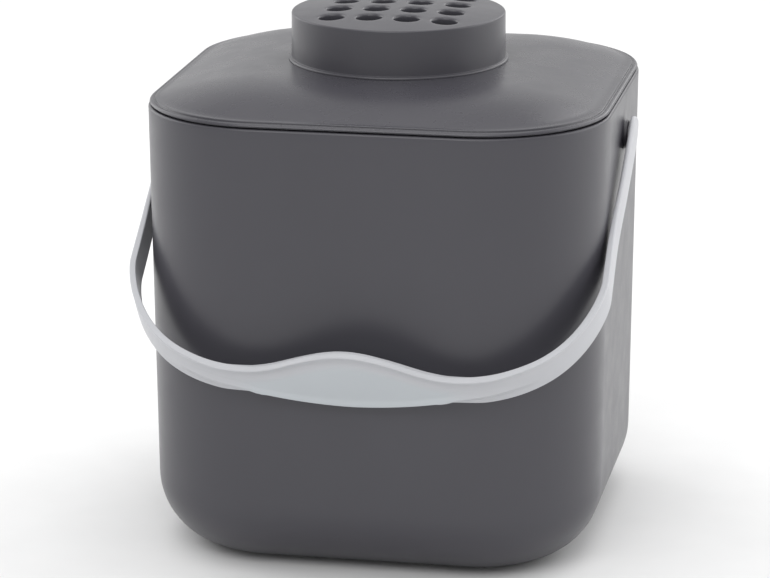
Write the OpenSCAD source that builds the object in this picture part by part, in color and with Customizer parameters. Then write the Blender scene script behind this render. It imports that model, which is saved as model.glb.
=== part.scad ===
// Compost caddy: square tapered bucket, hinged lid with a raised vent tower and
// charcoal filter, and a swinging carry handle with a palm grip.
// Z is up, the front of the caddy faces -Y, the lid hinge is at +Y.

/* [Bucket] */
// Outside width of the bucket at its rim
body_w = 200; // [180:1:220]
// Outside width of the bucket at its base
base_w = 195.4; // [176:0.2:216]
// Height of the bucket rim above the base
body_h = 196.9; // [160:0.1:230]
// Distance from the middle to each corner's centre line
corner_c = 44.75; // [40:0.25:50]
// Fillet radius between the walls and the base
base_fillet = 32; // [20:1:34]
// Wall thickness of the bucket
wall = 2.4; // [1.8:0.1:3.2]
// Floor thickness of the bucket
floor_t = 2.8; // [2.2:0.1:4]

/* [Lid] */
// Height of the lid's lower edge above the base
lid_z = 198.2; // [197.4:0.1:199]
// Height of the lid's edge bead above its lower edge
bead_h = 1.8; // [1.4:0.1:2.4]
// Height of the flat middle of the lid above the lid's lower edge
dome_h = 10.5; // [6:0.1:16]
// Wall thickness of the lid
lid_t = 2.2; // [1.6:0.1:3]
// Depth of the plug skirt below the lid's lower edge
skirt_h = 11.2; // [8:0.1:16]

/* [Vent tower] */
// Outside radius of the tower just above its foot
tower_r0 = 46.85; // [40:0.1:50]
// Outside radius of the tower at its top edge
tower_r1 = 46.7; // [39:0.1:49]
// Height of the tower's top edge above its foot
tower_h = 20.75; // [15:0.05:30]
// Height of the crown of the tower's top above its edge
crown_h = 2.4; // [1:0.1:5]
// Diameter of each vent hole
vent_d = 11.6; // [6:0.1:13]
// Distance between neighbouring vent holes
vent_pitch = 16.5; // [14:0.5:18]

/* [Handle] */
// Height of the handle pivot above the base
pivot_z = 177.63; // [165:0.01:182]
// Distance of the handle pivot behind the middle
pivot_y = 3.18; // [0:0.01:6]
// Angle that the resting handle hangs below the horizontal
rest_angle = 37.33; // [36:0.01:45]
// Width of the handle strap
strap_w = 15.9; // [12:0.1:20]
// Thickness of the handle strap
strap_t = 2.8; // [2:0.1:4]
// Radius of the handle's pivot pegs
peg_r = 4; // [3:0.1:5]

/* [Hinge] */
// Height of the hinge axis above the base
hinge_z = 195; // [194:0.1:195]
// Distance of the hinge axis behind the middle
hinge_y = 105; // [105:0.1:107]
// Outside radius of the hinge barrels
barrel_r = 4; // [3.6:0.1:4]
// Radius of the hinge pin
pin_r = 2; // [1.5:0.1:2.2]

/* [Hidden] */
$fn = 96;
eps = 0.01;
c = corner_c;
// wall line: corner radius at height z
slope = (body_w - base_w) / 2 / 197.5;
r_base = base_w / 2 - c;
r_top = body_w / 2 - c;
// lid dome
lid_top = lid_z + dome_h;
dome_e = 5;
dome_z = lid_z + 1.65;
dome_l = r_top - dome_e;
dome_r = (dome_l * dome_l + pow(lid_top - dome_z, 2)) / (2 * (lid_top - dome_z));
skirt_out = r_top - 4.3;
skirt_in = skirt_out - 1.8;
// tower
cap_z = lid_top + 0.15;
cap_edge = cap_z + tower_h;
crown_r = (tower_r1 * tower_r1 + crown_h * crown_h) / (2 * crown_h);
cap_t = 2;
collar_in = 42;
collar_out = 44.4;
collar_top = lid_top + 7.3;
well_r = 38;
grille_z = lid_top + 0.1;
grille_t = 1.8;
filter_z = grille_z + grille_t + 0.1;
filter_t = 15.4;
filter_r = 41.4;
// handle
arm_x0 = 103.6;
arm_x1 = 102.6;
arm_v = 87;
arm_m = 45.5;
crown_v = 55.84;
ear_in = arm_x0 - strap_t / 2;
boss_x = 101.7;
boss_r = 6.4;
peg_in = 95.4;
grip_half = 45;
hump = 13.8;
lens_n = 13;
lens_half = 60;
pad_in = 4.2;
pad_out = 1.2;

// ---------- plan shape: a half section (x outwards from a corner's centre line, y up)
// carried round the four corners and along the four sides of a rounded square
module round_square_ring() {
    for (a = [0, 90, 180, 270])
        rotate([0, 0, a]) {
            translate([c, c, 0]) rotate_extrude(angle = 90) children();
            translate([c, 0, 0]) rotate([90, 0, 0])
                linear_extrude(height = 2 * c, center = true) children();
        }
}

// the same with its middle filled between two heights
module round_square(z0, z1) {
    round_square_ring() children();
    translate([-c, -c, z0]) cube([2 * c, 2 * c, z1 - z0]);
}

// wall section with a fillet of radius r, in n steps, between the wall line and a floor at z = zf
module wall_section(r0, zf, r, top, n) {
    cz = zf + r;
    cx = r0 + slope * cz - r * sqrt(1 + slope * slope);
    polygon(concat([[0, zf]],
                   [for (i = [0:n]) let (a = -90 + (90 - atan(slope)) * i / n) [cx + r * cos(a), cz + r * sin(a)]],
                   [[r0 + slope * top, top], [0, top]]));
}

// ---------- bucket
module bucket_outer() {
    round_square(0, body_h) difference() {
        wall_section(r_base, 0, base_fillet, body_h, 12);
        translate([r_base + slope * body_h, body_h]) polygon([[1, 1], [-0.8, 1], [-0.8, 0], [-0.25, -0.22], [0, -0.8], [1, -0.8]]);
    }
}
module bucket_inner() {
    round_square(floor_t, body_h + 1)
        wall_section(r_base - wall, floor_t, base_fillet - wall, body_h + 1, 12);
}
module knuckle_web() {
    rotate([90, 0, 90]) linear_extrude(height = 12)
        polygon([[98.6, 178], [98.6, 196], [hinge_y, 196], [hinge_y + 3.34, hinge_z - 2.2]]);
}
module bucket() color([0.33, 0.33, 0.35]) difference() {
    union() {
        difference() {
            bucket_outer();
            bucket_inner();
        }
        // rear hinge knuckles
        for (x = [-34, 22]) translate([x, 0, 0]) {
            knuckle_web();
            translate([0, hinge_y, hinge_z]) rotate([0, 90, 0]) cylinder(r = barrel_r, h = 12);
        }
        // pivot bosses on the side walls
        for (s = [0, 1]) mirror([s, 0, 0])
            translate([98.2, pivot_y, pivot_z]) rotate([0, 90, 0]) cylinder(r1 = boss_r + 0.7, r2 = boss_r, h = boss_x - 98.2);
    }
    // hinge pin bores
    translate([-35, hinge_y, hinge_z]) rotate([0, 90, 0]) cylinder(r = pin_r + 0.02, h = 70);
    // handle peg bores
    for (s = [0, 1]) mirror([s, 0, 0])
        translate([90, pivot_y, pivot_z]) rotate([0, 90, 0]) cylinder(r = peg_r + 0.06, h = 14);
    // shallow pockets under the base, leaving a rim and a cross to stand on
    for (a = [0, 90, 180, 270]) rotate([0, 0, a]) translate([4, 4, -1])
        difference() {
            cube([52, 52, 2]);
            translate([52, 52, -1]) difference() {
                translate([-12, -12, 0]) cube([13, 13, 4]);
                translate([-12, -12, 0]) cylinder(r = 12, h = 4);
            }
        }
}

// ---------- lid
// points on the dome's arc, lowered by t, from the middle (x = 0) outwards to x = l
function dome_arc(t, l, n) = [for (i = [0:n])
    let (x = l * i / n) [x, lid_top - dome_r + sqrt(pow(dome_r - t, 2) - x * x)]];
module lid_outer() {
    round_square(lid_z, lid_top)
        polygon(concat([[0, lid_z]], dome_arc(0, dome_l, 10),
                // rolled edge bead and the shallow valley inside it
                [[dome_l + 1.2, dome_z - 0.05], [dome_l + 2.4, lid_z + bead_h - 0.04],
                 [dome_l + 3, lid_z + bead_h], [dome_l + 3.7, lid_z + bead_h - 0.12],
                 [dome_l + 4.3, lid_z + bead_h - 0.48], [dome_l + 4.75, lid_z + bead_h - 1.0],
                 [dome_l + 5, lid_z + 0.3], [dome_l + 4.8, lid_z]]));
}
module lid_cavity() {
    round_square(lid_z - 1, lid_top - lid_t)
        polygon(concat([[0, lid_z - 1]], dome_arc(lid_t, skirt_in - 1, 8), [[skirt_in - 1, lid_z - 1]]));
}
module lid() color([0.36, 0.36, 0.38]) difference() {
    union() {
        difference() {
            lid_outer();
            lid_cavity();
        }
        // plug skirt with a groove for the seal
        round_square_ring() difference() {
            translate([skirt_in, lid_z - skirt_h]) square([skirt_out - skirt_in, skirt_h + 0.6]);
            translate([skirt_out - 0.6, lid_z - 10]) square([2, 3]);
        }
        // collar that the vent tower pushes onto
        translate([0, 0, lid_top - 1.2]) difference() {
            cylinder(r = collar_out, h = collar_top - lid_top + 1.2, $fn = 144);
            translate([0, 0, -1]) cylinder(r = collar_in, h = 20, $fn = 144);
        }
        // hinge arm and barrel
        translate([-21.6, 0, 0]) rotate([90, 0, 90]) linear_extrude(height = 43.2)
            polygon([[96.5, lid_z + 0.1], [96.5, lid_z + 1.5], [98.4, lid_z + 1.72], [102, lid_z + 1.0],
                     [hinge_y, hinge_z + barrel_r - 0.05], [hinge_y, hinge_z], [hinge_y - barrel_r, hinge_z],
                     [hinge_y - barrel_r, lid_z - 0.8], [100.2, lid_z + 0.1]]);
        translate([-21.6, hinge_y, hinge_z]) rotate([0, 90, 0]) cylinder(r = barrel_r, h = 43.2);
    }
    // filter well
    translate([0, 0, lid_top - 10]) cylinder(r = well_r, h = 30, $fn = 144);
    // hinge bore
    translate([-30, hinge_y, hinge_z]) rotate([0, 90, 0]) cylinder(r = pin_r + 0.06, h = 60);
}

// ---------- seal ring in the skirt's groove, with a wiping lip
module lid_seal() color([0.16, 0.16, 0.17])
    round_square_ring()
        polygon([[skirt_out - 0.6, lid_z - 9.9], [skirt_out + 0.25, lid_z - 9.9], [skirt_out + 0.35, lid_z - 8.6],
                 [skirt_out + 1.5, lid_z - 7.6], [skirt_out + 1.5, lid_z - 7.15], [skirt_out, lid_z - 7.1],
                 [skirt_out - 0.6, lid_z - 7.1]]);

// ---------- hinge pin
module hinge_pin() color([0.7, 0.7, 0.72])
    translate([-33.5, hinge_y, hinge_z]) rotate([0, 90, 0]) cylinder(r = pin_r, h = 67);

// ---------- slotted grille that carries the filter
module filter_grille() color([0.36, 0.36, 0.38])
    translate([0, 0, grille_z]) difference() {
        cylinder(r = collar_in - 0.4, h = grille_t, $fn = 144);
        for (i = [-3:3], s = [0, 1]) mirror([s, 0, 0]) {
            y = i * 9.4;
            l = sqrt(35.5 * 35.5 - pow(abs(y) + 2.6, 2));
            translate([2.2, y - 2.6, -1]) cube([l - 2.2, 5.2, grille_t + 2]);
        }
    }

// ---------- charcoal foam disc
module charcoal_filter() color([0.1, 0.1, 0.1])
    translate([0, 0, filter_z]) cylinder(r = filter_r, h = filter_t, $fn = 144);

// ---------- vent tower: hollow push-on cap with a grid of round holes
module vent_cap() color([0.33, 0.33, 0.35]) difference() {
    rotate_extrude($fn = 144) intersection() {
        polygon([[0, cap_z], [tower_r0 + 1.0, cap_z], [tower_r0 + 1.25, cap_z + 0.35], [tower_r0 + 1.2, cap_z + 0.9],
                 [tower_r0 + 0.75, cap_z + 1.35], [tower_r0 + 0.05, cap_z + 1.6], [tower_r1 + 0.06, cap_edge - 1.1],
                 [tower_r1 - 0.1, cap_edge - 0.5], [tower_r1 - 0.5, cap_edge - 0.1], [tower_r1 - 1.2, cap_edge + 0.13],
                 [tower_r1 - 1.2, cap_edge + 10], [0, cap_edge + 10]]);
        translate([0, cap_edge + crown_h - crown_r]) circle(r = crown_r, $fn = 1440);
    }
    rotate_extrude($fn = 144) intersection() {
        polygon([[0, cap_z - 1], [tower_r0 - cap_t, cap_z - 1], [tower_r0 - cap_t, cap_z],
                 [tower_r1 - cap_t, cap_edge - cap_t], [tower_r1 - cap_t, cap_edge + 10], [0, cap_edge + 10]]);
        translate([0, cap_edge + crown_h - crown_r]) circle(r = crown_r - cap_t, $fn = 1440);
    }
    for (i = [-1.5:1:1.5], j = [-1.5:1:1.5])
        translate([i * vent_pitch, j * vent_pitch, cap_edge - 6]) cylinder(r = vent_d / 2, h = 14, $fn = 48);
}

// ---------- carry handle, drawn in its own plane: x across, y along the arms, z = -n
// centre line of the bend, from the arm (a = 0) to the middle of the crown (a = 90)
ex = 0.4515;
ev = 1.3079;
function bend(q) = [arm_x1 * pow(cos(q), ex), arm_v + crown_v * pow(sin(q), ev)];
// even steps along the shoulder, then even steps in x along the crown
bend_q = concat([for (q = [0:5:60]) q], [for (i = [1:9]) acos(pow(pow(0.5, ex) * (1 - i / 9), 1 / ex))]);
half_line = concat([[arm_x0 + 0.05, 0], [arm_x1 + 0.5, arm_m]], [for (q = bend_q) bend(q)]);
n_half = len(half_line);
line = concat(half_line, [for (i = [n_half - 2:-1:0]) [-half_line[i][0], half_line[i][1]]]);
n_line = len(line);
function unit(v) = v / norm(v);
function normal_at(i) =
    let (d = unit(line[min(n_line - 1, i + 1)] - line[max(0, i - 1)])) [d[1], -d[0]];
function offset_line(t) = [for (i = [0:n_line - 1]) line[i] + t * normal_at(i)];
function reversed(l) = [for (i = [len(l) - 1:-1:0]) l[i]];
module band(t_out, t_in) polygon(concat(offset_line(t_out), reversed(offset_line(-t_in))));
function hump_n(x) = abs(x) < grip_half ? strap_w / 2 + hump * pow(cos(90 * x / grip_half), 2) : strap_w / 2;
function lens_top(x) = abs(x) < lens_half ? hump_n(x) - 3.6 - 3.0 * pow(abs(x) / lens_half, 2) : 0;
function lens_bottom(x) = -lens_n + 6 * pow(x / 41, 2);

module handle_plane() translate([0, pivot_y, pivot_z]) rotate([180 + rest_angle, 0, 0]) children();

module carry_handle() color([0.78, 0.78, 0.79]) handle_plane() {
    // strap
    linear_extrude(height = strap_w, center = true) band(strap_t / 2, strap_t / 2);
    // finger hump on the strap's upper edge
    intersection() {
        translate([0, 0, -30]) linear_extrude(height = 31) intersection() {
            band(strap_t / 2, strap_t / 2);
            translate([-grip_half, 124]) square([2 * grip_half, 40]);
        }
        translate([0, 154, 0]) rotate([90, 0, 0]) linear_extrude(height = 30)
            polygon(concat([for (x = [-grip_half:2.5:grip_half]) [x, -hump_n(x)]], [[grip_half, 0], [-grip_half, 0]]));
    }
    // palm pad: a lens that stands proud of the strap on both faces
    intersection() {
        linear_extrude(height = 60, center = true) intersection() {
            band(strap_t / 2 + pad_out, pad_in);
            translate([-lens_half, 114]) square([2 * lens_half, 50]);
        }
        translate([0, 154, 0]) rotate([90, 0, 0]) linear_extrude(height = 40)
            polygon(concat([for (x = [-57.5:2.5:57.5]) [x, -lens_top(x)]],
                           [for (x = [57.5:-2.5:-57.5]) [x, -lens_bottom(x)]]));
    }
    // ears, pivot pegs and their snap heads
    for (s = [0, 1]) mirror([s, 0, 0]) {
        translate([ear_in, 0, 0]) rotate([0, 90, 0]) cylinder(r = strap_w / 2, h = strap_t);
        translate([peg_in, 0, 0]) rotate([0, 90, 0]) cylinder(r = peg_r, h = ear_in + 1 - peg_in);
        translate([peg_in, 0, 0]) rotate([0, 90, 0]) cylinder(r1 = peg_r, r2 = peg_r + 0.9, h = 1.5);
    }
}

bucket();
lid();
lid_seal();
hinge_pin();
filter_grille();
charcoal_filter();
vent_cap();
carry_handle();
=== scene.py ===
import bpy
import bmesh
import math
from mathutils import Matrix, Vector, noise
from mathutils.geometry import delaunay_2d_cdt


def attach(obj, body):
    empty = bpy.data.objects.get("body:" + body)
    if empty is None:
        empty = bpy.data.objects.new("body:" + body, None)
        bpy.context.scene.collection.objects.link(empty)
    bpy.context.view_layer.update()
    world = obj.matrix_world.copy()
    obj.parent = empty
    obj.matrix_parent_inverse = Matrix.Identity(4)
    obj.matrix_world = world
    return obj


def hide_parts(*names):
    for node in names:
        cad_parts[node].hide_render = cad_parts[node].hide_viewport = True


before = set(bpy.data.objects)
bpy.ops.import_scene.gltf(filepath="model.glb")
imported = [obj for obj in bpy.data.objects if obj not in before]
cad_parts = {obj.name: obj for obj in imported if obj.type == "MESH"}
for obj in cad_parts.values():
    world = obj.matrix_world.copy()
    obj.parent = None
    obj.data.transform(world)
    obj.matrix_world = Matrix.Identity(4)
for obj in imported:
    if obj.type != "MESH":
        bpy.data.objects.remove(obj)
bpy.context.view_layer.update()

MM = 0.001
rad = math.radians

# ------------------------------------------------------------------ sizes, mm
C = 44.75                 # corner centre lines
R_BASE = 52.95            # corner radius of the wall line at z = 0
R_TOP = 55.25             # and at the rim
SLOPE = 2.3 / 197.5
BODY_H = 196.9
LID_Z = 198.2
LID_TOP = 208.7
LID_T = 2.2
HINGE = (105.0, 195.0)    # y, z
PIVOT_Y, PIVOT_Z = 3.18, 177.63
CAP_Z = 208.85
CAP_EDGE = 229.6
CROWN_H = 2.4
REST = rad(37.33)


# ------------------------------------------------------------------ mesh building
class Shell:
    """Vertices in mm and faces, put together loop by loop."""

    def __init__(self):
        self.v, self.f, self.m = [], [], []

    def pts(self, points):
        i = len(self.v)
        self.v.extend([tuple(p) for p in points])
        return list(range(i, len(self.v)))

    def face(self, f, mat=0):
        self.f.append(tuple(f))
        self.m.append(mat)

    def bridge(self, a, b, mat=0):
        n = len(a)
        for i in range(n):
            j = (i + 1) % n
            self.face((a[i], a[j], b[j], b[i]), mat)

    def stack(self, loops, closed=False, mat=0):
        for a, b in zip(loops, loops[1:]):
            self.bridge(a, b, mat)
        if closed:
            self.bridge(loops[-1], loops[0], mat)

    def patch(self, rings, inner, z, mat=0):
        """Fills the flat-ish region between existing loops, with extra points inside it, at height z(x, y)."""
        co, src, edges = [], [], []
        for ring in rings:
            base = len(co)
            for k, i in enumerate(ring):
                co.append(Vector(self.v[i][:2]))
                src.append(i)
                edges.append((base + k, base + (k + 1) % len(ring)))
        for p in inner:
            co.append(Vector(p))
            src.append(self.pts([(p[0], p[1], z(p[0], p[1]))])[0])
        out, _, faces, orig, _, _ = delaunay_2d_cdt(co, edges, [], 0, 1e-6)
        polys = [[self.v[i][:2] for i in ring] for ring in rings]

        def inside(x, y):
            odd = False
            for poly in polys:
                n = len(poly)
                for k in range(n):
                    x0, y0 = poly[k]
                    x1, y1 = poly[(k + 1) % n]
                    if (y0 > y) != (y1 > y) and x < x0 + (y - y0) * (x1 - x0) / (y1 - y0):
                        odd = not odd
            return odd

        for f in faces:
            cx = sum(out[i].x for i in f) / len(f)
            cy = sum(out[i].y for i in f) / len(f)
            if inside(cx, cy):
                self.face([src[orig[i][0]] for i in f], mat)


def to_object(name, shell, place=None):
    me = bpy.data.meshes.new(name)
    v = shell.v if place is None else [place(p) for p in shell.v]
    me.from_pydata([(x * MM, y * MM, z * MM) for x, y, z in v], [], shell.f)
    me.polygons.foreach_set("material_index", shell.m)
    bm = bmesh.new()
    bm.from_mesh(me)
    bmesh.ops.remove_doubles(bm, verts=bm.verts, dist=3e-6)
    bmesh.ops.dissolve_degenerate(bm, dist=1e-7, edges=bm.edges)
    bmesh.ops.recalc_face_normals(bm, faces=bm.faces)
    bad = sum(1 for e in bm.edges if not e.is_manifold)
    if bad:
        print("open edges in", name, bad)
    for f in bm.faces:
        f.smooth = True
    bm.to_mesh(me)
    bm.free()
    ob = bpy.data.objects.new(name, me)
    bpy.context.scene.collection.objects.link(ob)
    return ob


def boolean(ob, other, operation):
    mod = ob.modifiers.new("cut", "BOOLEAN")
    mod.operation = operation
    mod.object = other
    mod.solver = "EXACT"
    dg = bpy.context.evaluated_depsgraph_get()
    me = bpy.data.meshes.new_from_object(ob.evaluated_get(dg))
    ob.modifiers.clear()
    old = ob.data
    ob.data = me
    bpy.data.meshes.remove(old)
    dead = other.data
    bpy.data.objects.remove(other)
    bpy.data.meshes.remove(dead)


def tidy(ob, sharp):
    bm = bmesh.new()
    bm.from_mesh(ob.data)
    bmesh.ops.remove_doubles(bm, verts=bm.verts, dist=3e-6)
    bmesh.ops.dissolve_degenerate(bm, dist=2e-6, edges=bm.edges)
    loose = [v for v in bm.verts if not v.link_faces]
    bmesh.ops.delete(bm, geom=loose, context="VERTS")
    bad = sum(1 for e in bm.edges if not e.is_manifold)
    print(ob.name, "faces", len(bm.faces), "open edges", bad)
    for f in bm.faces:
        f.smooth = True
    bm.to_mesh(ob.data)
    bm.free()
    ob.data.set_sharp_from_angle(angle=rad(sharp))


def finish_piece(ob, body, mats, sharp=32, nodes=()):
    tidy(ob, sharp)
    index = [f.material_index for f in ob.data.polygons]
    ob.data.materials.clear()
    for m in mats:
        ob.data.materials.append(m)
    ob.data.polygons.foreach_set("material_index", [min(i, len(mats) - 1) for i in index])
    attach(ob, body)
    if nodes:
        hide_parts(*nodes)
    return ob


def smooth_line(points, steps=5):
    """Catmull-Rom through 2-D points."""
    out = []
    n = len(points)
    for i in range(n - 1):
        p0 = points[max(0, i - 1)]
        p1, p2 = points[i], points[i + 1]
        p3 = points[min(n - 1, i + 2)]
        for k in range(steps):
            t = k / steps
            out.append(tuple(0.5 * (2 * b + (c - a) * t + (2 * a - 5 * b + 4 * c - d) * t * t
                                    + (3 * b - a - 3 * c + d) * t ** 3)
                             for a, b, c, d in zip(p0, p1, p2, p3)))
    out.append(tuple(points[-1]))
    return out


def arc(cx, cy, r, a0, a1, n):
    return [(cx + r * math.cos(rad(a0 + (a1 - a0) * i / n)), cy + r * math.sin(rad(a0 + (a1 - a0) * i / n)))
            for i in range(n + 1)]


def smoothstep(a, b, x):
    t = min(1.0, max(0.0, (x - a) / (b - a)))
    return t * t * (3 - 2 * t)


def lathe(name, profile, n=96, axis="z", at=(0, 0, 0), closed=True):
    """A solid of revolution from (radius, along) points. Ends with a radius of 0 are closed with a fan."""
    s = Shell()
    loops = []
    for r, a in profile:
        if r < 1e-6:
            loops.append(s.pts([(0, 0, a)]) * n)
        else:
            loops.append(s.pts([(r * math.cos(2 * math.pi * k / n), r * math.sin(2 * math.pi * k / n), a)
                                for k in range(n)]))
    pairs = list(zip(loops, loops[1:])) + ([(loops[-1], loops[0])] if closed else [])
    for a, b in pairs:
        for i in range(n):
            j = (i + 1) % n
            q = [a[i], a[j], b[j], b[i]]
            f = [x for k, x in enumerate(q) if x not in q[:k]]
            if len(f) > 2:
                s.face(f)
    turn = {"z": lambda p: p, "x": lambda p: (p[2], p[0], p[1]), "y": lambda p: (p[0], p[2], p[1])}[axis]
    return to_object(name, s, lambda p: tuple(c + d for c, d in zip(turn(p), at)))


def prism_x(name, outline, x0, x1, edge=0.35):
    """A solid with a (y, z) outline between x0 and x1, its end edges rounded over."""
    def inset(poly, d):
        n = len(poly)
        area = sum(poly[i][0] * poly[(i + 1) % n][1] - poly[(i + 1) % n][0] * poly[i][1] for i in range(n))
        sign = 1 if area > 0 else -1
        out = []
        for i in range(n):
            a, b, c = Vector(poly[i - 1]), Vector(poly[i]), Vector(poly[(i + 1) % n])
            e, f = (b - a).normalized(), (c - b).normalized()
            m = Vector((-e.y, e.x)) + Vector((-f.y, f.x))
            m = m.normalized() * sign
            k = d / max(0.45, abs(m.dot(Vector((-e.y, e.x)))))
            out.append(tuple(b + m * k))
        return out
    s = Shell()
    loops = []
    for k in range(5):
        a = rad(90 * k / 4)
        poly = inset(outline, edge * (1 - math.sin(a)))
        x = x0 + edge * (1 - math.cos(a))
        loops.append(s.pts([(x, p[0], p[1]) for p in poly]))
    for k in range(5):
        a = rad(90 - 90 * k / 4)
        poly = inset(outline, edge * (1 - math.sin(a)))
        x = x1 - edge * (1 - math.cos(a))
        loops.append(s.pts([(x, p[0], p[1]) for p in poly]))
    s.stack(loops)
    s.face(loops[0])
    s.face(loops[-1])
    return to_object(name, s)


# ------------------------------------------------------------------ the rounded-square plan
def plan_stations(n_arc=24, flats=(0.0, 0.02, 0.12, 0.3, 0.5, 0.7, 0.88, 0.98)):
    """(corner centre, outward direction) round the plan, so a point at offset r is centre + r * direction."""
    out = []
    corners = [(C, C), (-C, C), (-C, -C), (C, -C)]
    for q, (cx, cy) in enumerate(corners):
        for k in range(n_arc):
            a = math.pi / 2 * (q + k / n_arc)
            out.append((cx, cy, math.cos(a), math.sin(a)))
        a = math.pi / 2 * (q + 1)
        nx, ny = corners[(q + 1) % 4]
        for t in flats:
            out.append((cx + (nx - cx) * t, cy + (ny - cy) * t, math.cos(a), math.sin(a)))
    return out


PLAN = plan_stations()


def ring_at(r, z):
    return [(cx + r * dx, cy + r * dy, z) for cx, cy, dx, dy in PLAN]


def plan_shell(shell, profile):
    """Loops of the rounded square, one for each (offset, height)."""
    return [shell.pts(ring_at(r, z)) for r, z in profile]


# ------------------------------------------------------------------ materials
def srgb(r, g, b):
    def f(c):
        c /= 255
        return c / 12.92 if c <= 0.04045 else ((c + 0.055) / 1.055) ** 2.4
    return (f(r), f(g), f(b), 1.0)


class Mat:
    def __init__(self, name):
        self.m = bpy.data.materials.new(name)
        self.m.use_nodes = True
        self.t = self.m.node_tree
        self.t.nodes.clear()
        self.out = self.t.nodes.new("ShaderNodeOutputMaterial")
        self.p = self.t.nodes.new("ShaderNodeBsdfPrincipled")
        self.link(self.p.outputs["BSDF"], self.out.inputs["Surface"])
        self.co = self.t.nodes.new("ShaderNodeTexCoord").outputs["Object"]

    def link(self, a, b):
        self.t.links.new(a, b)

    def noise(self, scale, detail=2.0, rough=0.5, stretch=None):
        n = self.t.nodes.new("ShaderNodeTexNoise")
        n.inputs["Scale"].default_value = scale
        n.inputs["Detail"].default_value = detail
        n.inputs["Roughness"].default_value = rough
        src = self.co
        if stretch:
            mp = self.t.nodes.new("ShaderNodeMapping")
            mp.inputs["Scale"].default_value = stretch
            self.link(src, mp.inputs["Vector"])
            src = mp.outputs["Vector"]
        self.link(src, n.inputs["Vector"])
        return n.outputs["Fac"]

    def cells(self, scale, feature="F1"):
        n = self.t.nodes.new("ShaderNodeTexVoronoi")
        n.feature = feature
        n.inputs["Scale"].default_value = scale
        self.link(self.co, n.inputs["Vector"])
        return n.outputs["Distance"]

    def span(self, fac, lo, hi, a=0.3, b=0.7):
        n = self.t.nodes.new("ShaderNodeMapRange")
        n.inputs["From Min"].default_value = a
        n.inputs["From Max"].default_value = b
        n.inputs["To Min"].default_value = lo
        n.inputs["To Max"].default_value = hi
        self.link(fac, n.inputs["Value"])
        return n.outputs["Result"]

    def ramp(self, fac, stops):
        n = self.t.nodes.new("ShaderNodeValToRGB")
        r = n.color_ramp
        while len(r.elements) < len(stops):
            r.elements.new(0.5)
        for e, (pos, col) in zip(r.elements, stops):
            e.position = pos
            e.color = col
        self.link(fac, n.inputs["Fac"])
        return n.outputs["Color"]

    def bump(self, fac, strength, distance, after=None):
        n = self.t.nodes.new("ShaderNodeBump")
        n.inputs["Strength"].default_value = strength
        n.inputs["Distance"].default_value = distance
        self.link(fac, n.inputs["Height"])
        if after is not None:
            self.link(after, n.inputs["Normal"])
        return n.outputs["Normal"]

    def const(self, **values):
        for k, v in values.items():
            self.p.inputs[k.replace("_", " ")].default_value = v


def pad_reach(m):
    """Where the palm pad lies on the handle, from 0 to 1 with a soft border (metres, object space)."""
    def calc(op, a, b=None, c=None):
        n = m.t.nodes.new("ShaderNodeMath")
        n.operation = op
        for k, v in enumerate((a, b, c)):
            if v is None:
                continue
            if isinstance(v, (int, float)):
                n.inputs[k].default_value = v
            else:
                m.link(v, n.inputs[k])
        return n.outputs[0]

    def soft(fac, lo, hi, a, b):
        n = m.t.nodes.new("ShaderNodeMapRange")
        n.interpolation_type = "SMOOTHSTEP"
        for k, v in (("From Min", a), ("From Max", b), ("To Min", lo), ("To Max", hi)):
            n.inputs[k].default_value = v
        m.link(fac, n.inputs["Value"])
        return n.outputs["Result"]

    sep = m.t.nodes.new("ShaderNodeSeparateXYZ")
    m.link(m.co, sep.inputs["Vector"])
    x, y, z = (sep.outputs[k] for k in ("X", "Y", "Z"))
    along = calc("ABSOLUTE", x)
    high = calc("MULTIPLY", calc("SUBTRACT", z, PIVOT_Z / 1000), math.cos(REST))
    width = calc("SUBTRACT", high, calc("MULTIPLY", calc("SUBTRACT", y, PIVOT_Y / 1000), math.sin(REST)))
    arch = calc("COSINE", calc("MULTIPLY", calc("MINIMUM", along, 0.045), math.pi / 2 / 0.045))
    rim = calc("MULTIPLY_ADD", calc("MULTIPLY", arch, arch), 0.0138, 0.00795)
    depth = calc("SUBTRACT", rim, width)
    outside = soft(calc("SUBTRACT", calc("MULTIPLY", calc("SUBTRACT", y, PIVOT_Y / 1000), -math.cos(REST)),
                        calc("MULTIPLY", calc("SUBTRACT", z, PIVOT_Z / 1000), math.sin(REST))), 0.0, 1.0, 0.11, 0.125)
    return calc("MULTIPLY", calc("MULTIPLY", soft(depth, 0.0, 1.0, 0.0055, 0.0105), soft(along, 1.0, 0.0, 0.036, 0.054)), outside)


def tinted(col, k):
    return tuple(min(1.0, c * k) for c in col[:3]) + (1.0,)


def moulded(name, col, rough, grain, vary=0.03, ior=1.5, spec=0.5, peel=0.10, pad=None):
    """Injection-moulded plastic: a fine spark-eroded texture, a faint flow unevenness and slightly uneven gloss."""
    m = Mat(name)
    flow = m.noise(14, 3, 0.55, (1, 1, 0.45))
    base = m.ramp(flow, [(0.3, tinted(col, 1 - vary)), (0.7, tinted(col, 1 + vary))])
    if pad:
        # the palm pad is a slightly cooler grey
        tone = m.t.nodes.new("ShaderNodeMix")
        tone.data_type = "RGBA"
        m.link(pad_reach(m), tone.inputs[0])
        m.link(base, tone.inputs[6])
        tone.inputs[7].default_value = pad
        base = tone.outputs[2]
    m.link(base, m.p.inputs["Base Color"])
    gloss = m.noise(60, 4, 0.6)
    m.link(m.span(gloss, rough - 0.03, rough + 0.03), m.p.inputs["Roughness"])
    wide = m.bump(m.noise(90, 2, 0.5), peel, 0.0002)
    fine = m.bump(m.noise(2600, 2, 0.6), grain, 0.00004, wide)
    m.link(fine, m.p.inputs["Normal"])
    m.const(IOR=ior, Specular_IOR_Level=spec)
    return m.m


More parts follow.
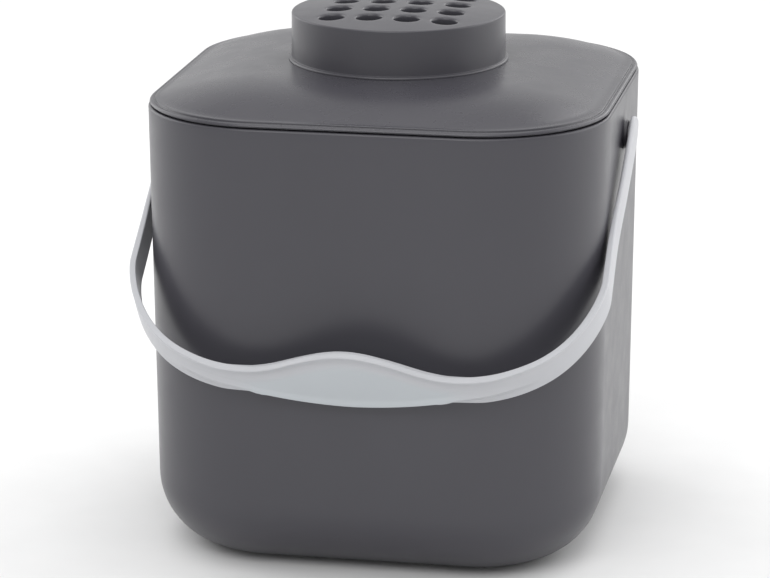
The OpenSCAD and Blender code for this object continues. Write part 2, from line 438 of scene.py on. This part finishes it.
DARK = srgb(80, 79, 84)
body_mat = moulded("bucket_satin_plastic", srgb(66, 65, 71), 0.33, 0.4)
lid_mat = moulded("lid_satin_plastic", srgb(66, 65, 71), 0.28, 0.4, peel=0.04)
cap_mat = moulded("cap_satin_plastic", srgb(66, 65, 71), 0.33, 0.4)
grille_mat = moulded("grille_plastic", srgb(66, 65, 71), 0.4, 0.4)
handle_mat = moulded("handle_light_plastic", srgb(189, 190, 194), 0.38, 0.4, 0.012, spec=0.35, pad=srgb(190, 195, 199))

seal_mat = Mat("seal_silicone")
seal_mat.link(seal_mat.ramp(seal_mat.noise(45, 3), [(0.3, srgb(38, 38, 40)), (0.7, srgb(46, 46, 48))]),
              seal_mat.p.inputs["Base Color"])
seal_mat.link(seal_mat.span(seal_mat.noise(400, 3), 0.55, 0.68), seal_mat.p.inputs["Roughness"])
seal_mat.link(seal_mat.bump(seal_mat.noise(3000, 2), 0.4, 0.00005), seal_mat.p.inputs["Normal"])
seal_mat.const(IOR=1.41)

foam_mat = Mat("carbon_foam")
pores = foam_mat.cells(620)
# the pore pits are painted darker than the strut tops: painted shade in the pits, on top of the bump that sinks them
foam_mat.link(foam_mat.ramp(pores, [(0.05, srgb(60, 60, 61)), (0.35, srgb(100, 100, 102)), (0.6, srgb(128, 128, 130))]),
              foam_mat.p.inputs["Base Color"])
foam_mat.link(foam_mat.span(foam_mat.noise(900, 3), 0.82, 0.98), foam_mat.p.inputs["Roughness"])
foam_mat.link(foam_mat.bump(foam_mat.noise(2500, 3), 0.6, 0.0002, foam_mat.bump(pores, 1.0, 0.0009)),
              foam_mat.p.inputs["Normal"])
foam_mat.const(Sheen_Weight=0.15, Specular_IOR_Level=0.25)

steel_mat = Mat("pin_steel")
drawn = steel_mat.noise(1, 4, 0.6, (60, 5200, 5200))
steel_mat.link(steel_mat.ramp(drawn, [(0.3, srgb(168, 168, 170)), (0.7, srgb(196, 196, 197))]),
               steel_mat.p.inputs["Base Color"])
steel_mat.link(steel_mat.span(drawn, 0.24, 0.38), steel_mat.p.inputs["Roughness"])
steel_mat.link(steel_mat.bump(drawn, 0.25, 0.00003), steel_mat.p.inputs["Normal"])
steel_mat.const(Metallic=1.0)


# ------------------------------------------------------------------ bucket
def wall_r(z):
    return R_BASE + SLOPE * z


def wall_profile(r0, zf, r, n):
    cz = zf + r
    cx = r0 + SLOPE * cz - r * math.sqrt(1 + SLOPE * SLOPE)
    top = 90 - math.degrees(math.atan(SLOPE))
    return [(cx + r * math.cos(rad(-90 + top * i / n)), cz + r * math.sin(rad(-90 + top * i / n)))
            for i in range(n + 1)]


def make_bucket():
    s = Shell()
    outer = wall_profile(R_BASE, 0, 32, 20)
    prof = list(outer)
    for z in (60, 100, 140, 165, 180, 192):
        prof.append((wall_r(z), z))
    rr = 1.15
    rt = wall_r(BODY_H)
    prof += arc(rt - rr, BODY_H - rr, rr, 0, 90, 8)
    ri = wall_r(BODY_H) - 2.4
    prof += arc(ri + 0.6, BODY_H - 0.6, 0.6, 90, 180, 4)
    for z in (192, 180, 165, 140, 100, 60):
        prof.append((wall_r(z) - 2.4, z))
    prof += list(reversed(wall_profile(R_BASE - 2.4, 2.8, 29.6, 20)))
    loops = plan_shell(s, prof)
    s.stack(loops)
    s.face(loops[0])
    s.face(loops[-1])
    ob = to_object("bucket_shell", s)
    # pivot bosses, blended into the side walls
    for side in (1, -1):
        boss = [(0, 98.3), (7.3, 98.3), (7.2, 99.75), (6.75, 99.9), (6.45, 100.15), (6.3, 100.5), (6.2, 101.2)]
        boss += [(6.15, 101.4), (6.03, 101.58), (5.85, 101.68), (5.6, 101.7), (0, 101.7)]
        b = lathe("boss", [(r, side * a) for r, a in boss], 72, "x", (0, PIVOT_Y, PIVOT_Z), closed=False)
        boolean(ob, b, "UNION")
    # rear knuckles with their webs
    y, z = HINGE
    web = [(98.3, 177.4), (108.34, 192.8)] + arc(y, z, 4, -30, 160, 22) + [(98.3, 196.2)]
    for x0 in (-34, 22):
        boolean(ob, prism_x("knuckle", web, x0, x0 + 12), "UNION")
    # bores
    pin = [(0, -36), (2.05, -36), (2.05, 36), (0, 36)]
    boolean(ob, lathe("bore", pin, 48, "x", (0, y, z), closed=False), "DIFFERENCE")
    peg = [(0, -120), (4.06, -120), (4.06, 120), (0, 120)]
    boolean(ob, lathe("bore", peg, 64, "x", (0, PIVOT_Y, PIVOT_Z), closed=False), "DIFFERENCE")
    # shallow pockets under the base
    for a in range(4):
        p = Shell()
        loops = []
        for z_, grow in ((-1, 0.3), (0, 0.3), (0.3, 0.12), (0.95, 0.0), (1.0, -0.4)):
            r0, r1 = 2 + grow, 12 + grow
            pts = []
            for cx, cy, r, a0 in ((6, 6, r0, 180), (54, 6, r0, 270), (44, 44, r1, 0), (6, 54, r0, 90)):
                pts += [(px, py) for px, py in arc(cx, cy, r, a0, a0 + 90, 8)]
            turn = math.pi / 2 * a
            loops.append(p.pts([(px * math.cos(turn) - py * math.sin(turn),
                                 px * math.sin(turn) + py * math.cos(turn), z_) for px, py in pts]))
        p.stack(loops)
        p.face(loops[0])
        p.face(loops[-1])
        boolean(ob, to_object("pocket", p), "DIFFERENCE")
    finish_piece(ob, "bucket", [body_mat], 30, ["bucket"])


# ------------------------------------------------------------------ lid
DOME_E = 5
DOME_Z = LID_Z + 1.65
DOME_L = R_TOP - DOME_E
DOME_R = (DOME_L ** 2 + (LID_TOP - DOME_Z) ** 2) / (2 * (LID_TOP - DOME_Z))
SKIRT_OUT = R_TOP - 4.3
SKIRT_IN = SKIRT_OUT - 1.8


def offset_of(x, y):
    """Distance outside the square of the corner centres."""
    return math.hypot(max(0.0, abs(x) - C), max(0.0, abs(y) - C))


def dome_z(x, y, drop=0.0):
    r = offset_of(x, y)
    return LID_TOP - DOME_R + math.sqrt((DOME_R - drop) ** 2 - r * r)


def circle_on_plan(r, z, edge):
    """Points of a circle at the same polar angles as a plan loop at offset edge."""
    out = []
    for cx, cy, dx, dy in PLAN:
        px, py = cx + edge * dx, cy + edge * dy
        k = r / math.hypot(px, py)
        out.append((px * k, py * k, z))
    return out


def dome_rings(shell, r_circle, edge, n, drop):
    """Loops from a circle round the tower out to the plan loop at offset edge, on the dome."""
    inner = circle_on_plan(r_circle, 0, edge)
    outer = ring_at(edge, 0)
    loops = []
    for k in range(n + 1):
        t = k / n
        pts = []
        for a, b in zip(inner, outer):
            x, y = a[0] + (b[0] - a[0]) * t, a[1] + (b[1] - a[1]) * t
            pts.append((x, y, dome_z(x, y, drop)))
        loops.append(shell.pts(pts))
    return loops


def make_lid():
    s = Shell()
    loops = []

    def circ(r, z, edge=DOME_L):
        loops.append(s.pts(circle_on_plan(r, z, edge)))

    # well hole, seat, collar
    for r, z in [(38.3, LID_TOP - LID_T), (38.0, LID_TOP - LID_T + 0.3), (38.0, LID_TOP - 0.4), (38.12, LID_TOP - 0.12),
                 (38.4, LID_TOP), (41.6, LID_TOP), (41.88, LID_TOP + 0.1), (42, LID_TOP + 0.4), (42, 215.2),
                 (42.15, 215.7), (42.5, 216), (43.9, 216), (44.25, 215.7), (44.4, 215.2), (44.4, LID_TOP + 0.4),
                 (44.5, LID_TOP + 0.12)]:
        circ(r, z)
    loops += dome_rings(s, 44.75, DOME_L, 26, 0)
    d = DOME_L
    lz = LID_Z - 0.3
    bead = smooth_line([(d, DOME_Z), (d + 0.9, lz + 1.92), (d + 1.5, lz + 1.86), (d + 1.82, lz + 1.7), (d + 1.93, lz + 1.35),
                        (d + 2.05, lz + 1.03), (d + 2.35, lz + 0.9), (d + 2.75, lz + 1.02), (d + 3.15, lz + 1.18),
                        (d + 3.6, lz + 1.15), (d + 4.0, lz + 0.9), (d + 4.28, lz + 0.52), (d + 4.42, lz + 0.22),
                        (d + 4.35, lz + 0.04), (d + 4.15, lz)], 4)
    loops += plan_shell(s, bead[1:])
    loops += plan_shell(s, [(d + 4.02, lz), (d + 3.9, lz - 0.04), (d + 3.84, lz - 0.16), (d + 3.78, lz - 0.4),
                            (d + 3.6, lz - 0.52), (d + 3.3, lz - 0.56), (d + 1.6, lz - 0.58)])
    so, si = SKIRT_OUT, SKIRT_IN
    under = [(so + 0.4, LID_Z - 0.92), (so + 0.1, LID_Z - 1.0), (so, LID_Z - 1.3), (so, LID_Z - 6.9), (so - 0.1, LID_Z - 7.0),
             (so - 0.6, LID_Z - 7.0), (so - 0.6, LID_Z - 10), (so - 0.1, LID_Z - 10), (so, LID_Z - 10.1),
             (so, LID_Z - 10.8), (so - 0.12, LID_Z - 11.1), (so - 0.4, LID_Z - 11.2), (si + 0.4, LID_Z - 11.2),
             (si + 0.12, LID_Z - 11.1), (si, LID_Z - 10.8), (si, LID_Z - 0.4), (si - 0.12, LID_Z - 0.1),
             (si - 0.4, LID_Z + 0.2), (si - 0.9, LID_Z + 0.5)]
    loops += plan_shell(s, under)
    inside = dome_rings(s, 38.8, si - 1.0, 20, LID_T)
    loops += list(reversed(inside))
    s.stack(loops, closed=True)
    ob = to_object("lid_shell", s)
    y, z = HINGE
    arm = [(96.2, LID_Z - 0.25), (96.2, LID_Z + 1.45), (98.4, LID_Z + 1.5), (100.2, LID_Z + 1.35), (102.2, LID_Z + 0.95)]
    arm += arc(y, z, 4, 95, -180, 30) + [(101, LID_Z - 0.8), (100.2, LID_Z + 0.05)]
    boolean(ob, prism_x("arm", arm, -21.6, 21.6), "UNION")
    pin = [(0, -30), (2.08, -30), (2.08, 30), (0, 30)]
    boolean(ob, lathe("bore", pin, 48, "x", (0, y, z), closed=False), "DIFFERENCE")
    finish_piece(ob, "lid", [lid_mat], 30, ["lid"])


def make_seal():
    s = Shell()
    so, z = SKIRT_OUT, LID_Z
    prof = [(so - 0.57, z - 9.85), (so + 0.1, z - 9.88), (so + 0.28, z - 9.7), (so + 0.34, z - 9.2), (so + 0.36, z - 8.7),
            (so + 0.75, z - 8.25), (so + 1.3, z - 7.8), (so + 1.48, z - 7.58), (so + 1.5, z - 7.35), (so + 1.35, z - 7.18),
            (so + 1.0, z - 7.14), (so, z - 7.12), (so - 0.57, z - 7.12)]
    s.stack(plan_shell(s, prof), closed=True)
    finish_piece(to_object("lid_seal_ring", s), "lid", [seal_mat.m], 50, ["lid_seal"])


def make_pin():
    y, z = HINGE
    ob = lathe("hinge_pin_rod", [(0, -33.5), (1.5, -33.5), (1.85, -33.35), (2, -33.0), (2, 33.0), (1.85, 33.35),
                                 (1.5, 33.5), (0, 33.5)], 48, "x", (0, y, z), closed=False)
    finish_piece(ob, "bucket", [steel_mat.m], 40, ["hinge_pin"])


# ------------------------------------------------------------------ filter grille, filter, vent tower
def circle(r, z, n=144, cx=0.0, cy=0.0, zf=None):
    out = []
    for k in range(n):
        a = 2 * math.pi * k / n
        x, y = cx + r * math.cos(a), cy + r * math.sin(a)
        out.append((x, y, z if zf is None else zf(x, y) + z))
    return out


def hex_points(step, radius):
    out = []
    rows = int(radius / (step * 0.866)) + 1
    for j in range(-rows, rows + 1):
        for i in range(-rows, rows + 1):
            x, y = (i + 0.5 * (j % 2)) * step, j * step * 0.866
            if math.hypot(x, y) < radius:
                out.append((x, y))
    return out


def make_grille():
    z0, z1 = 208.8, 210.6
    s = Shell()
    e = 0.35
    outer = [s.pts(circle(r, z)) for r, z in
             ((41.6 - e, z0), (41.6, z0 + e), (41.6, z1 - e), (41.5, z1 - 0.1), (41.6 - e, z1))]
    s.stack(outer)
    tops, bottoms = [outer[-1]], [outer[0]]
    for i in range(-3, 4):
        y = i * 9.4
        reach = math.sqrt(35.5 ** 2 - (abs(y) + 2.6) ** 2)
        for sx in (1, -1):
            x0, x1, rc = 2.2, reach, 1.6

            def slot_ring(grow, z):
                pts = []
                for cx, cy, a0 in ((x1 - rc, y + 2.6 - rc, 0), (x0 + rc, y + 2.6 - rc, 90),
                                   (x0 + rc, y - 2.6 + rc, 180), (x1 - rc, y - 2.6 + rc, 270)):
                    pts += [(sx * px, py, z) for px, py in arc(cx, cy, rc + grow, a0, a0 + 90, 6)]
                return s.pts(pts)

            rings = [slot_ring(0.35, z1), slot_ring(0.1, z1 - 0.1), slot_ring(0, z1 - 0.35), slot_ring(0, z0 + 0.3),
                     slot_ring(0.3, z0)]
            s.stack(rings)
            tops.append(rings[0])
            bottoms.append(rings[-1])
    s.patch(tops, [], lambda x, y: z1)
    s.patch(bottoms, [], lambda x, y: z0)
    finish_piece(to_object("filter_grille_plate", s), "lid", [grille_mat], 40, ["filter_grille"])


def make_filter():
    z0, z1, r = 210.72, 226.06, 41.3
    s = Shell()
    n = 240
    side = [s.pts(circle(r - 0.9, z0, n)), s.pts(circle(r - 0.25, z0 + 0.25, n))]
    for k in range(9):
        side.append(s.pts(circle(r, z0 + 0.9 + (z1 - z0 - 1.8) * k / 8, n)))
    side += [s.pts(circle(r - 0.25, z1 - 0.25, n)), s.pts(circle(r - 0.9, z1, n))]
    s.stack(side)
    grid = hex_points(1.15, r - 1.9)
    s.patch([side[-1]], grid, lambda x, y: z1)
    s.patch([side[0]], grid, lambda x, y: z0)
    # open pores: every point sinks a little by its own amount
    for i, p in enumerate(s.v):
        v = Vector(p)
        h = 0.5 + 0.5 * noise.noise(v * 0.42)
        g = 0.5 + 0.5 * noise.noise(v * 1.1 + Vector((7, 3, 5)))
        dent = 0.5 * h * g + 0.22 * g
        c = Vector((v.x, v.y, 0))
        rim = c.length > r - 1.0
        if rim:
            c = c * (1 - 0.6 * dent / c.length)
        zc = v.z
        if c.length < r - 0.2:
            zc += dent * (-1 if v.z > (z0 + z1) / 2 else 1)
        s.v[i] = (c.x, c.y, zc)
    ob = to_object("charcoal_filter_disc", s)
    finish_piece(ob, "filter", [foam_mat.m], 180, ["charcoal_filter"])


def crown(x, y, drop=0.0):
    rr = (46.7 ** 2 + CROWN_H ** 2) / (2 * CROWN_H)
    return CAP_EDGE + CROWN_H - rr + math.sqrt((rr - drop) ** 2 - x * x - y * y)


def make_cap():
    s = Shell()
    z0, ze = CAP_Z, CAP_EDGE
    foot = smooth_line([(48.1, z0 - 0.14), (48.16, z0 - 0.1), (48.17, z0 + 0.1), (48.13, z0 + 0.4), (47.88, z0 + 0.74),
                        (47.5, z0 + 0.94), (47.15, z0 + 1.02), (46.96, z0 + 1.14), (46.92, z0 + 1.5)], 4)
    prof = [(45.8, z0 - 0.14)] + foot
    for k in range(1, 8):
        t = k / 8
        prof.append((46.92 + (46.77 - 46.92) * t, z0 + 1.5 + (ze - 0.8 - z0 - 1.5) * t))
    prof += [(46.77 - 0.85 + 0.85 * math.cos(rad(a)), ze - 0.72 + 0.82 * math.sin(rad(a))) for a in range(0, 84, 12)]
    prof += [(45.8, crown(45.8, 0) - 0.004), (45.4, crown(45.4, 0))]
    loops = [s.pts(circle(r, z)) for r, z in prof]
    s.stack(loops)
    tops = [loops[-1]]
    inner = [(44.95, z0 + 0.4), (44.9, z0 + 6), (44.8, z0 + 14), (44.72, ze - 3.4), (44.4, ze - 2.5), (43.6, crown(43.6, 0, 2))]
    iloops = [s.pts(circle(r, z)) for r, z in [(45.2, z0 - 0.12)] + inner]
    s.stack(iloops)
    s.bridge(loops[0], iloops[0])
    bottoms = [iloops[-1]]
    centres = [(16.5 * i, 16.5 * j) for i in (-1.5, -0.5, 0.5, 1.5) for j in (-1.5, -0.5, 0.5, 1.5)]
    f, bore = 1.15, 5.55
    for cx, cy in centres:
        rings = []
        for k in range(6):
            a = rad(90 * k / 5)
            r = bore + f - f * math.sin(a)
            rings.append(s.pts(circle(r, -f + f * math.cos(a), 48, cx, cy, crown)))
        # each hole runs on down as a short collar
        deep = 3.3
        for r, dz in ((bore, -2.0), (bore - 0.03, -deep + 0.3), (bore + 0.1, -deep + 0.08), (bore + 0.35, -deep),
                      (bore + 0.75, -deep), (bore + 1.0, -deep + 0.1), (bore + 1.1, -deep + 0.35), (bore + 1.15, -2.4),
                      (bore + 1.3, -2.1)):
            rings.append(s.pts(circle(r, dz, 48, cx, cy, crown)))
        rings.append(s.pts(circle(bore + 1.55, 0, 48, cx, cy, lambda x, y: crown(x, y, 2))))
        s.stack(rings)
        tops.append(rings[0])
        bottoms.append(rings[-1])
    grid = hex_points(2.0, 43.4)
    clear = [(x, y) for x, y in grid if all(math.hypot(x - a, y - b) > 7.5 for a, b in centres)]
    s.patch(tops, clear, crown)
    clear = [(x, y) for x, y in clear if math.hypot(x, y) < 42]
    s.patch(bottoms, clear, lambda x, y: crown(x, y, 2))
    finish_piece(to_object("vent_cap_shell", s), "tower", [cap_mat], 38, ["vent_cap"])


# ------------------------------------------------------------------ carry handle
SW, ST = 7.95, 1.4          # half width and half thickness of the strap
HUMP, GRIP_HALF = 13.8, 45.0


def handle_point(x, v, n):
    return (x, PIVOT_Y - v * math.cos(REST) - n * math.sin(REST), PIVOT_Z - v * math.sin(REST) + n * math.cos(REST))


def centre_line(step):
    dense = []
    arm = smooth_line([(103.65, 0), (103.5, 10), (103.2, 22), (102.8, 36), (102.5, 50), (102.35, 64), (102.45, 76),
                       (102.6, 87)], 16)
    dense += arm[:-1]
    for k in range(300):
        q = math.pi / 2 * 0.74 * k / 300
        dense.append((102.6 * math.cos(q) ** 0.4515, 87 + 55.84 * math.sin(q) ** 1.3079))
    x0 = dense[-1][0]
    for k in range(1, 301):
        x = x0 * (1 - k / 300)
        dense.append((x, 87 + 55.84 * (1 - (x / 102.6) ** (2 / 0.4515)) ** (1.3079 / 2)))
    full = dense + [(-x, v) for x, v in reversed(dense[:-1])]
    length = [0.0]
    for a, b in zip(full, full[1:]):
        length.append(length[-1] + math.dist(a, b))
    total = length[-1]
    n = int(round(total / step / 2)) * 2
    out = []
    j = 0
    for k in range(n + 1):
        d = total * k / n
        while j < len(length) - 2 and length[j + 1] < d:
            j += 1
        t = (d - length[j]) / (length[j + 1] - length[j])
        out.append((full[j][0] + (full[j + 1][0] - full[j][0]) * t, full[j][1] + (full[j + 1][1] - full[j][1]) * t))
    return out


def hump_n(a):
    h = HUMP * math.cos(math.pi / 2 * a / GRIP_HALF) ** 2 if a < GRIP_HALF else 0.0
    return SW + h + 0.5 * math.exp(-((a - 22) / 9) ** 2)


def lens_low(a):
    """Lower boundary of the palm pad, which runs on as a crease across the strap."""
    if a <= 41:
        return -12.7 + 5.9 * (a / 41) ** 1.75
    return -6.8 + 5.2 * (1 - math.exp(-(a - 41) / 8.5))


def section(a, w_top, w_bot, grip):
    """The closed cross-section at distance a from the middle, as (thickness, width) points."""
    top, bot = w_top, w_bot
    low = lens_low(a)
    lens = grip * (1 - smoothstep(54, 76, a))          # strength of the palm pad
    cove = grip * (1 - smoothstep(34, 66, a))          # depth of the cove under the upper rim
    ridge = grip * smoothstep(34, 50, a) * (1 - smoothstep(56, 80, a))
    lip = grip * smoothstep(42, 58, a) * (1 - smoothstep(62, 88, a))
    reach = 1.5 + 1.9 * smoothstep(42, 52, a)
    if grip and low < bot:
        bot = low
    t_rim = ST + 0.75 * lens
    deep = 2.1 * cove + 0.35 * grip * (1 - cove)
    wide = 6.0 + 1.8 * (1 - smoothstep(10, 60, a))
    lens_top = top - wide - 1.2

    def outer(n):
        d = top - n
        # the cove drops steeply under the rim and climbs back to the panel in a long hollow curve
        drop = smoothstep(0.15, 1.5 + 1.2 * (1 - cove), d)
        climb = min(1.0, max(0.0, (d - 1.5) / wide))
        s_up = min(1.0, max(0.0, (d - 1.5) / max(4.0, top - low - 1.5)))
        t = ST + (-0.85 + 0.35 * s_up) * lens
        if n >= low:
            # the pad's lower edge flares out into a lip
            t += (0.9 * lens + 0.35 * ridge) * (1 - smoothstep(0.2, 3.8, n - low))
        else:
            # below the pad's crease the strap falls back and slopes in to its lower edge
            fall = grip * (1 - smoothstep(60, 86, a))
            t += 0.9 * lens + 0.35 * ridge
            t -= ((1.15 + 0.6 * ridge) * smoothstep(-0.2, reach, low - n) + 0.04 * (low - n)) * fall
        t += (t_rim - t) * (1 - drop) - deep * drop * (1 - climb) ** 1.8
        t += 0.5 * lip * (1 - smoothstep(0.5, 2.6, n - w_bot)) * (1 if low > w_bot else 0)
        # away from the grip the outer face is slightly crowned
        t -= 0.5 * (1 - grip) * (abs(n) / SW) ** 2
        return t

    def soft(fn, n):
        return sum(fn(n + k * 0.14) * w for k, w in ((-2, 0.12), (-1, 0.23), (0, 0.3), (1, 0.23), (2, 0.12)))

    def inner(n):
        s_in = smoothstep(0, 4.6, n - low) * smoothstep(0, 4.6, lens_top + 1.4 - n)
        d = top - n
        backing = 1.8 * cove * smoothstep(0.3, 1.4, d) * (1 - smoothstep(7, 10, d))
        return -ST + 0.3 * (1 - grip) - max(2.8 * lens * s_in, backing)

    rho = min(0.9 - 0.48 * grip, 0.9 * (top - bot) / 2)
    crn = min(1.25 - 0.7 * grip, 0.9 * (top - bot) / 2)    # radius of the outer upper corner
    pts = []
    m = 52
    n0, n1 = bot + rho, top - crn
    low_in = min(max(low, n0), n1)
    ns = []
    lo_count = 14
    for k in range(lo_count):
        ns.append(n0 + (low_in - n0) * k / lo_count)
    for k in range(m - lo_count + 1):
        u = k / (m - lo_count)
        ns.append(low_in + (n1 - low_in) * (1 - (1 - u) ** 1.6))
    for n in ns:
        pts.append((soft(outer, n), n))
    # the rim keeps its own thickness above the cove
    to = pts[-1][0]
    for k in range(1, 7):
        b = rad(90 * k / 6)
        pts.append((to - crn + crn * math.cos(b), n1 + crn * math.sin(b)))
    n1 = top - rho
    ti = inner(n1)
    for k in range(1, 4):
        pts.append((to - crn + (ti + rho - to + crn) * k / 4, top))
    for k in range(5):
        b = rad(90 + 90 * k / 4)
        pts.append((ti + rho + rho * math.cos(b), n1 + rho * math.sin(b)))
    for n in reversed(ns[1:-1:2]):
        pts.append((inner(n), n))
    ti = inner(n0)
    for k in range(5):
        b = rad(180 + 90 * k / 4)
        pts.append((ti + rho + rho * math.cos(b), n0 + rho * math.sin(b)))
    to = pts[0][0]
    for k in range(1, 4):
        pts.append((ti + rho + (to - rho - ti - rho) * k / 4, bot))
    for k in range(4):
        b = rad(270 + 90 * k / 4)
        pts.append((to - rho + rho * math.cos(b), n0 + rho * math.sin(b)))
    return pts


def make_handle():
    line = centre_line(1.1)
    n = len(line)
    # the round ends of the ears come before and after the line
    ear = []
    for k in range(1, 13):
        b = rad(88 * k / 12)
        ear.append((SW * math.cos(b), SW * math.sin(b)))
    stations = []
    for w, back in reversed(ear):
        stations.append((103.65, -back, 1.0, 0.0, w))
    for i, (x, v) in enumerate(line):
        a, b = line[max(0, i - 2)], line[min(n - 1, i + 2)]
        dx, dv = b[0] - a[0], b[1] - a[1]
        k = math.hypot(dx, dv)
        stations.append((x, v, dv / k, -dx / k, SW))
    for w, back in ear:
        stations.append((-103.65, -back, -1.0, 0.0, w))
    s = Shell()
    loops = []
    for x, v, nx, nv, w in stations:
        a = abs(x)
        top = w if a > GRIP_HALF + 12 or w < SW else hump_n(a)
        blend = smoothstep(30, 88, v)
        # the strap is a little narrower on the arms, and sags a little either side of the grip
        slim = 0.4 * smoothstep(6, 26, v) * smoothstep(68, 86, a)
        sag = -0.85 * math.exp(-((a - 57) / 13) ** 2)
        slack = -0.6 * math.exp(-((a - 62) / 12) ** 2)
        lean = -0.5 * smoothstep(30, 60, v) * (1 - smoothstep(95, 132, v))
        sec = section(a, top - slim, slim - w + slack, blend)
        loops.append(s.pts([handle_point(x + lean + t * nx, v + t * nv, q + sag) for t, q in sec]))
    s.stack(loops)
    s.face(loops[0])
    s.face(loops[-1])
    ob = to_object("carry_handle_strap", s)
    for side in (1, -1):
        peg = [(0, 95.4), (3.4, 95.4), (3.9, 95.55), (4.55, 96.1), (4.88, 96.6), (4.85, 96.85), (4.5, 97.0),
               (4.0, 97.1), (4.0, 101.9), (4.3, 102.15), (4.8, 102.35), (4.8, 103.2), (0, 103.2)]
        p = lathe("peg", [(r, side * a) for r, a in peg], 56, "x", (0, PIVOT_Y, PIVOT_Z), closed=False)
        boolean(ob, p, "UNION")
    finish_piece(ob, "handle", [handle_mat], 35, ["carry_handle"])


make_bucket()
make_lid()
make_seal()
make_pin()
make_grille()
make_filter()
make_cap()
make_handle()

# ------------------------------------------------------------------ floor, light, camera
scene = bpy.context.scene
scene.view_settings.view_transform = "Standard"
scene.view_settings.look = "None"
scene.view_settings.exposure = 0.0
scene.view_settings.gamma = 1.0

bm = bmesh.new()
bmesh.ops.create_grid(bm, x_segments=24, y_segments=24, size=6.0)
me = bpy.data.meshes.new("floor")
bm.to_mesh(me)
bm.free()
floor = bpy.data.objects.new("floor", me)
floor.location = (0, 0, -0.0002)
scene.collection.objects.link(floor)
fm = Mat("studio_floor")
fm.link(fm.ramp(fm.noise(30, 3), [(0.3, (0.80, 0.80, 0.80, 1)), (0.7, (0.82, 0.82, 0.82, 1))]), fm.p.inputs["Base Color"])
fm.const(Roughness=0.9, Specular_IOR_Level=0.1)
floor.data.materials.append(fm.m)

world = bpy.data.worlds.new("studio")
world.use_nodes = True
bg = world.node_tree.nodes["Background"]
bg.inputs["Color"].default_value = (1, 1, 1, 1)
bg.inputs["Strength"].default_value = 0.6
scene.world = world


def area(name, at, to, size, size_y, power):
    light = bpy.data.lights.new(name, "AREA")
    light.shape = "RECTANGLE"
    light.size, light.size_y = size, size_y
    light.energy = power
    ob = bpy.data.objects.new(name, light)
    ob.location = at
    ob.rotation_euler = (Vector(to) - Vector(at)).to_track_quat("-Z", "Y").to_euler()
    scene.collection.objects.link(ob)
    return ob


area("softbox_left", (-1.4, 0.55, 0.8), (0, 0, 0.2), 1.5, 1.5, 10)
area("softbox_right", (1.4, 0.55, 0.8), (0, 0, 0.2), 1.5, 1.5, 10)
area("softbox_back", (0.0, 2.9, 1.0), (0, 0, 0.4), 7.0, 2.0, 10)
area("softbox_back_right", (0.85, 2.1, 1.35), (0.05, 0, 0.2), 1.1, 1.7, 9)
area("softbox_top", (0.0, 0.1, 2.2), (0, 0, 0.1), 2.0, 2.0, 18)
area("softbox_front", (-0.1, -1.75, 1.75), (0, 0, 0.1), 1.6, 1.2, 17)

cam = bpy.data.cameras.new("camera")
cam.sensor_fit = "HORIZONTAL"
cam.sensor_width = 36.0
cam.lens = 3616.175 / 770 * 36.0
cam.clip_start = 0.05
cam.clip_end = 30.0
yaw, pitch, roll = rad(11.1041), rad(15.6394), rad(-0.1165)
fwd = Vector((-math.sin(yaw) * math.cos(pitch), math.cos(yaw) * math.cos(pitch), -math.sin(pitch)))
rgt = Vector((math.cos(yaw), math.sin(yaw), 0))
up = rgt.cross(fwd)
r2 = rgt * math.cos(roll) + up * math.sin(roll)
u2 = up * math.cos(roll) - rgt * math.sin(roll)
camera = bpy.data.objects.new("camera", cam)
rot = Matrix((r2, u2, -fwd)).transposed().to_4x4()
camera.matrix_world = Matrix.Translation(Vector((293.39, -1527.13, 538.34)) * MM) @ rot
scene.collection.objects.link(camera)
scene.camera = camera

bpy.context.view_layer.update()
